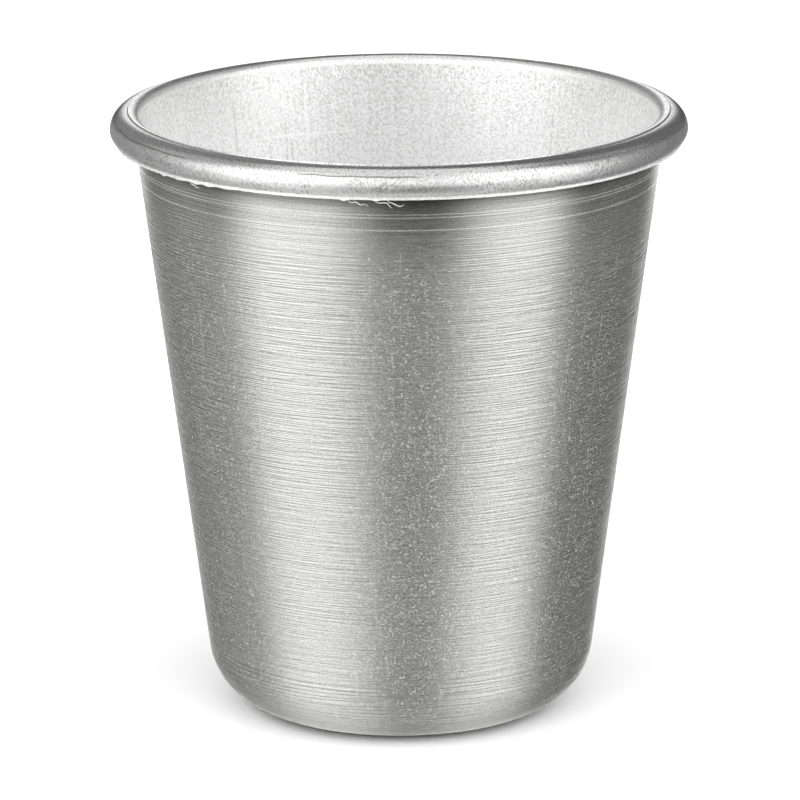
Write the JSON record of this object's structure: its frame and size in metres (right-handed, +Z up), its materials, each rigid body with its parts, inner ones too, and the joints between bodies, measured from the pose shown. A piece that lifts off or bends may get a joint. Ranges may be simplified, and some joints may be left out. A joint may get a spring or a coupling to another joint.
{
  "type": "drawn metal cup",
  "caption": "Plain tapered cup drawn from one disc of aluminium sheet, with a flat base, a round base corner and an outward curled rim, for holding a single serving.",
  "frame": {"origin": "centre of the flat base, on the surface that the cup stands on", "axes": "+Z up the axis of the cup, towards its mouth; X and Y are free, because the cup is round"},
  "size_m": [0.075, 0.075, 0.0798],
  "materials": {
    "brushed_aluminium": "satin, brushed round the axis outside, duller and unpolished inside"
  },
  "bodies": {
    "root": {"drawn_cup": "brushed_aluminium"}
  },
  "joints": []
}
